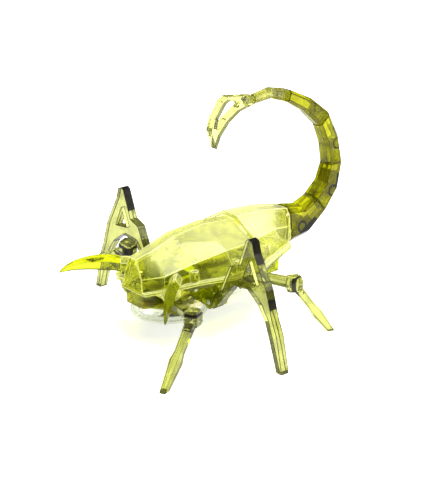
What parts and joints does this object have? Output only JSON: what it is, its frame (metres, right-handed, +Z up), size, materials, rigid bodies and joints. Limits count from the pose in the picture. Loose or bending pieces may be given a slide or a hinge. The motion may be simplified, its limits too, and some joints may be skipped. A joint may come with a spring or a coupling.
{
  "type": "hexapod walking robot toy",
  "caption": "Small scorpion-shaped walking robot toy with clear plastic covers, geared crank drive, jointed hips, pincers and a jointed tail.",
  "frame": {"origin": "on the ground, at the centre of the bounding box seen from above", "axes": "+X forward towards the head, +Y the robot's left, +Z up"},
  "size_m": [0.1006, 0.0924, 0.0718],
  "materials": {
    "body_yellow": "clear yellow-green moulded plastic",
    "leg_olive": "clear olive moulded plastic with black bands",
    "tail_olive": "clear dark yellow-green moulded plastic",
    "clear_tub": "colourless clear plastic",
    "steel": "plain steel",
    "nylon": "natural white nylon",
    "brass": "plain brass",
    "board_green": "solder resist",
    "black": "black plastic"
  },
  "bodies": {
    "chassis": {"abdomen_cover": "body_yellow", "battery_cup": "clear_tub", "battery_door": "clear_tub", "belly_housing": "clear_tub", "belly_screw_1": "steel", "belly_screw_2": "steel", "button_cell_1": "steel", "button_cell_2": "steel", "button_cell_3": "steel", "chassis_tray": "leg_olive", "circuit_board": "board_green", "contact_lower": "steel", "contact_upper": "steel", "cover_screw_1": "steel", "cover_screw_2": "steel", "cover_screw_3": "steel", "cover_screw_4": "steel", "cover_screw_5": "steel", "cover_screw_6": "steel", "door_screw": "steel", "gearbox_deck": "nylon", "hip_pin_front_left": "steel", "hip_pin_front_right": "steel", "hip_pin_middle_left": "steel", "hip_pin_middle_right": "steel", "hip_pin_rear_left": "steel", "hip_pin_rear_right": "steel", "idler_axle": "steel", "motor_can": "steel", "pincer_left": "body_yellow", "pincer_right": "body_yellow", "switch_body": "black", "thorax_cover": "body_yellow"},
    "front_drag_plate": {"front_drag_plate": "nylon"},
    "rear_drag_plate": {"rear_drag_plate": "nylon"},
    "crank": {"crank_wheel": "nylon", "crank_disc": "nylon"},
    "idler": {"idler_gear": "nylon"},
    "motor_rotor": {"motor_pinion": "brass", "motor_shaft": "steel"},
    "switch_slider": {"switch_slider": "black"},
    "leg_front_left": {"leg_front_left": "leg_olive"},
    "leg_front_right": {"leg_front_right": "leg_olive"},
    "leg_middle_left": {"leg_middle_left": "leg_olive"},
    "leg_middle_right": {"leg_middle_right": "leg_olive"},
    "leg_rear_left": {"leg_rear_left": "leg_olive"},
    "leg_rear_right": {"leg_rear_right": "leg_olive"},
    "tail_link_1": {"tail_link_1": "tail_olive", "tail_pin_1": "steel"},
    "tail_link_2": {"tail_link_2": "tail_olive", "tail_pin_2": "steel"},
    "tail_link_3": {"tail_link_3": "tail_olive", "tail_pin_3": "steel"},
    "tail_link_4": {"tail_link_4": "tail_olive", "tail_pin_4": "steel"},
    "tail_link_5": {"tail_link_5": "tail_olive", "tail_pin_5": "steel"},
    "stinger": {"stinger": "tail_olive", "tail_pin_6": "steel"}
  },
  "joints": [
    {"name": "front_drag_slide", "type": "slide", "parent": "chassis", "child": "front_drag_plate", "axis": [0, 1, 0], "range_m": [-0.00469, 0]},
    {"name": "rear_drag_slide", "type": "slide", "parent": "chassis", "child": "rear_drag_plate", "axis": [0, 1, 0], "range_m": [-0.00157, 0.00157]},
    {"name": "hip_front_left", "type": "hinge", "parent": "chassis", "child": "leg_front_left", "pos_m": [0.0282, 0.0115, 0.0155], "axis": [0.3256, 0, 0.9455], "range_deg": [0, 56]},
    {"name": "hip_front_right", "type": "hinge", "parent": "chassis", "child": "leg_front_right", "pos_m": [0.0282, -0.0115, 0.0155], "axis": [0.3256, 0, 0.9455], "range_deg": [0, 56]},
    {"name": "hip_middle_left", "type": "hinge", "parent": "chassis", "child": "leg_middle_left", "pos_m": [0.0142, 0.0145, 0.0135], "axis": [1, 0, 0], "range_deg": [-8.5, 8.5]},
    {"name": "hip_middle_right", "type": "hinge", "parent": "chassis", "child": "leg_middle_right", "pos_m": [0.0142, -0.0145, 0.0135], "axis": [1, 0, 0], "range_deg": [-8.5, 8.5]},
    {"name": "hip_rear_left", "type": "hinge", "parent": "chassis", "child": "leg_rear_left", "pos_m": [-0.0048, 0.009, 0.016], "axis": [0, 0, 1], "range_deg": [-20, 20]},
    {"name": "hip_rear_right", "type": "hinge", "parent": "chassis", "child": "leg_rear_right", "pos_m": [-0.0048, -0.009, 0.016], "axis": [0, 0, 1], "range_deg": [-20, 20]},
    {"name": "crank_spin", "type": "hinge", "parent": "chassis", "child": "crank", "pos_m": [0.0052, 0, 0.02], "axis": [0, 0, 1], "continuous": true},
    {"name": "idler_spin", "type": "hinge", "parent": "chassis", "child": "idler", "pos_m": [-0.0043, 0, 0.021], "axis": [0, 0, 1], "continuous": true},
    {"name": "motor_spin", "type": "hinge", "parent": "chassis", "child": "motor_rotor", "pos_m": [-0.0123, 0, 0.02], "axis": [0, 0, 1], "continuous": true},
    {"name": "switch_slide", "type": "slide", "parent": "chassis", "child": "switch_slider", "axis": [1, 0, 0], "range_m": [-0.001, 0.001]},
    {"name": "tail_hinge_1", "type": "hinge", "parent": "chassis", "child": "tail_link_1", "pos_m": [-0.0304, 0, 0.02515], "axis": [0, 1, 0], "range_deg": [-5, 5]},
    {"name": "tail_hinge_2", "type": "hinge", "parent": "tail_link_1", "child": "tail_link_2", "pos_m": [-0.04364, 0, 0.03313], "axis": [0, 1, 0], "range_deg": [-5, 5]},
    {"name": "tail_hinge_3", "type": "hinge", "parent": "tail_link_2", "child": "tail_link_3", "pos_m": [-0.0459, 0, 0.0478], "axis": [0, 1, 0], "range_deg": [-5, 5]},
    {"name": "tail_hinge_4", "type": "hinge", "parent": "tail_link_3", "child": "tail_link_4", "pos_m": [-0.03809, 0, 0.06064], "axis": [0, 1, 0], "range_deg": [-5, 5]},
    {"name": "tail_hinge_5", "type": "hinge", "parent": "tail_link_4", "child": "tail_link_5", "pos_m": [-0.02285, 0, 0.0688], "axis": [0, 1, 0], "range_deg": [-5, 5]},
    {"name": "tail_hinge_6", "type": "hinge", "parent": "tail_link_5", "child": "stinger", "pos_m": [-0.00952, 0, 0.06922], "axis": [0, 1, 0], "range_deg": [-5, 5]}
  ],
  "couplings": [
    {"joint": "hip_front_left", "follows": "front_drag_slide", "rad_per_m": -208.19},
    {"joint": "hip_front_right", "follows": "front_drag_slide", "rad_per_m": -208.19},
    {"joint": "hip_middle_left", "follows": "rear_drag_slide", "rad_per_m": -93.85},
    {"joint": "hip_middle_right", "follows": "rear_drag_slide", "rad_per_m": -93.85},
    {"joint": "hip_rear_left", "follows": "rear_drag_slide", "rad_per_m": 221.87},
    {"joint": "hip_rear_right", "follows": "rear_drag_slide", "rad_per_m": 221.87},
    {"joint": "idler_spin", "follows": "crank_spin", "ratio": -2.8},
    {"joint": "motor_spin", "follows": "crank_spin", "ratio": 6.16}
  ]
}
